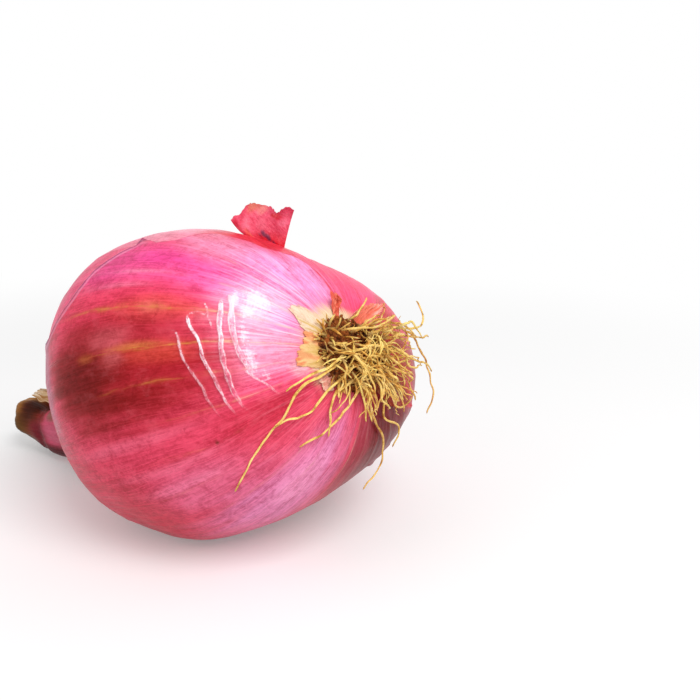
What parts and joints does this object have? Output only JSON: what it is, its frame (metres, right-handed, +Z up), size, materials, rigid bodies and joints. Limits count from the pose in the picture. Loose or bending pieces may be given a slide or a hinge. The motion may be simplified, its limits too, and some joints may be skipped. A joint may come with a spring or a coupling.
{
  "type": "red onion",
  "caption": "Whole dried red onion lying on its belly, with a pinched papery neck, a tuft of dried roots and loose skin scraps.",
  "frame": {"origin": "middle of the bounding box's footprint, on the surface that the onion lies on", "axes": "+X along the onion's length towards the root end, +Z up"},
  "size_m": [0.1236, 0.0796, 0.0739],
  "materials": {
    "onion_skin": "glossy, thin, papery red outer skin with lengthwise veins",
    "root_plate": "dull, rough, dried plant base with soil",
    "dried_roots": "dull, straw-yellow dried fibre",
    "torn_skin": "thin, tan, torn old skin",
    "loose_skin": "thin, coral-pink, papery loose skin"
  },
  "bodies": {
    "root": {"bulb": "onion_skin", "root_plate": "root_plate", "long_root_01": "dried_roots", "long_root_02": "dried_roots", "long_root_03": "dried_roots", "long_root_04": "dried_roots", "long_root_05": "dried_roots", "long_root_06": "dried_roots", "long_root_07": "dried_roots", "long_root_08": "dried_roots", "long_root_09": "dried_roots", "long_root_10": "dried_roots", "long_root_11": "dried_roots", "long_root_12": "dried_roots", "short_root_01": "dried_roots", "short_root_02": "dried_roots", "short_root_03": "dried_roots", "short_root_04": "dried_roots", "short_root_05": "dried_roots", "short_root_06": "dried_roots", "short_root_07": "dried_roots", "short_root_08": "dried_roots", "short_root_09": "dried_roots", "short_root_10": "dried_roots", "short_root_11": "dried_roots", "short_root_12": "dried_roots", "short_root_13": "dried_roots", "short_root_14": "dried_roots", "short_root_15": "dried_roots", "short_root_16": "dried_roots", "short_root_17": "dried_roots", "short_root_18": "dried_roots", "short_root_19": "dried_roots", "short_root_20": "dried_roots", "short_root_21": "dried_roots", "short_root_22": "dried_roots", "short_root_23": "dried_roots", "short_root_24": "dried_roots", "collar_upper": "torn_skin", "collar_left": "torn_skin", "collar_sliver": "torn_skin", "collar_right": "torn_skin", "collar_lower": "torn_skin", "collar_base": "torn_skin", "neck_scrap": "torn_skin", "top_flap": "loose_skin"}
  },
  "joints": []
}
